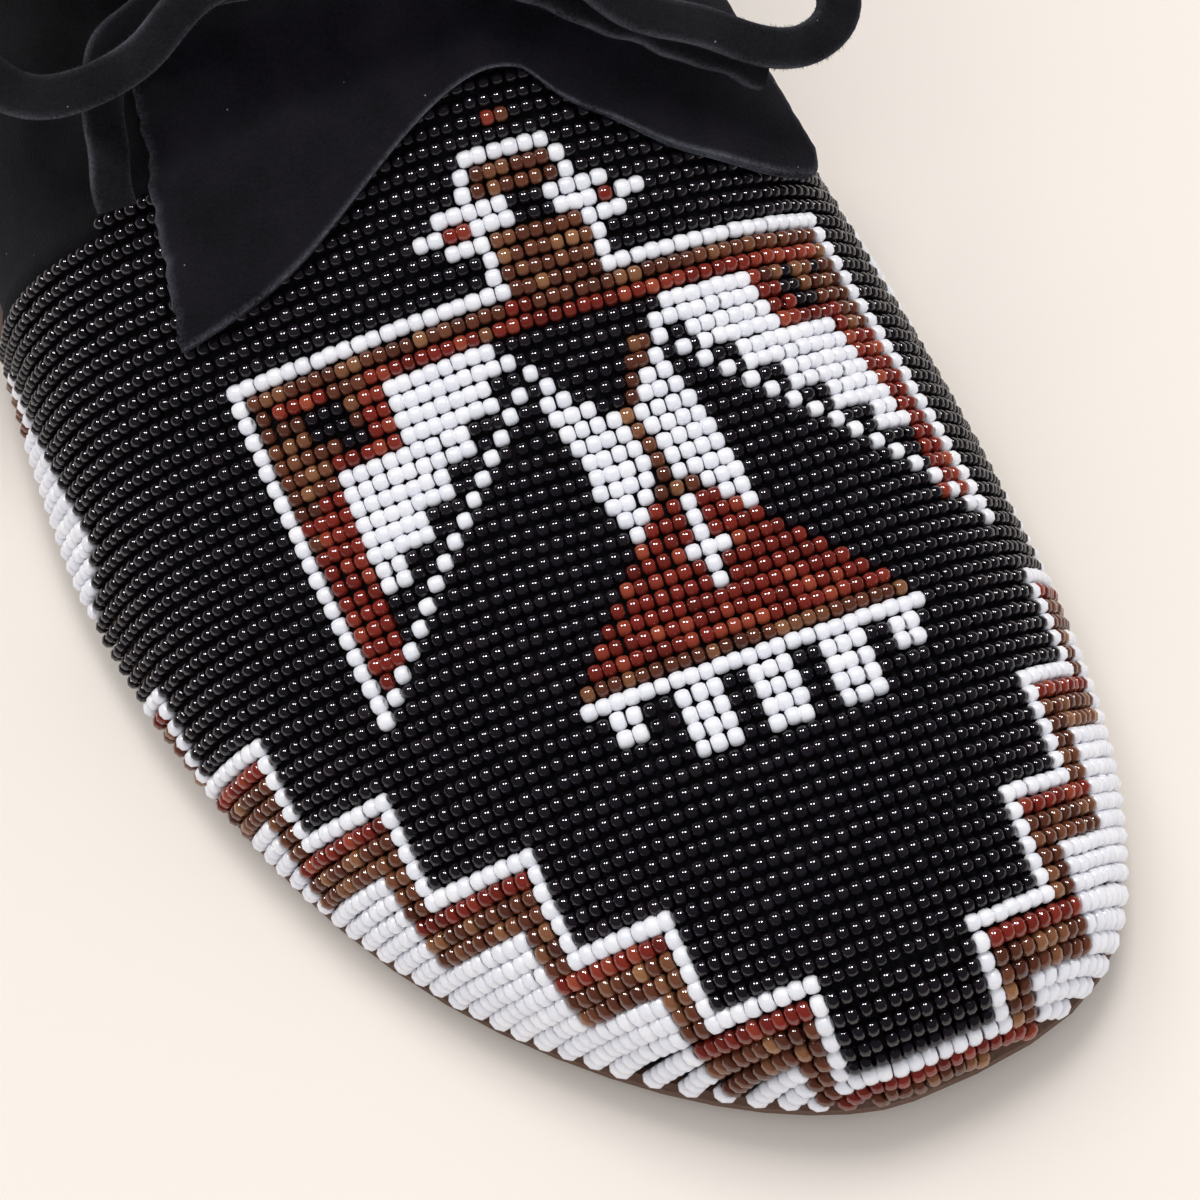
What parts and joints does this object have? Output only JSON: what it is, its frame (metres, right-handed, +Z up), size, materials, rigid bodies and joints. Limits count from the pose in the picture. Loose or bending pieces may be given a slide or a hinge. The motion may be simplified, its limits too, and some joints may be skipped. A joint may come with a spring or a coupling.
{
  "type": "lace-up moccasin",
  "caption": "Right-foot leather moccasin with a beaded vamp, suede ankle cuff, forked tongue, thong tied in a bow and a flat leather sole.",
  "frame": {"origin": "on the ground under the middle of the shoe's box, without the bow", "axes": "+Z up, +Y from toe to heel along the long axis of the foot, +X to the inner side of the foot"},
  "size_m": [0.1077, 0.2652, 0.112],
  "materials": {
    "sole_leather": "brown leather with a cut edge",
    "insole_leather": "smooth tan leather",
    "beaded_leather": "black suede, sewn over with glass seed beads in front",
    "cuff_suede": "black suede",
    "tongue_suede": "black suede",
    "thong_suede": "black suede thong"
  },
  "bodies": {
    "root": {"outsole": "sole_leather", "insole": "insole_leather", "upper": "beaded_leather", "cuff": "cuff_suede", "tongue": "tongue_suede", "thong": "thong_suede", "lace_knot": "thong_suede", "lace_loop_outer": "thong_suede", "lace_loop_inner": "thong_suede", "lace_end_outer": "thong_suede", "lace_end_inner": "thong_suede"}
  },
  "joints": []
}
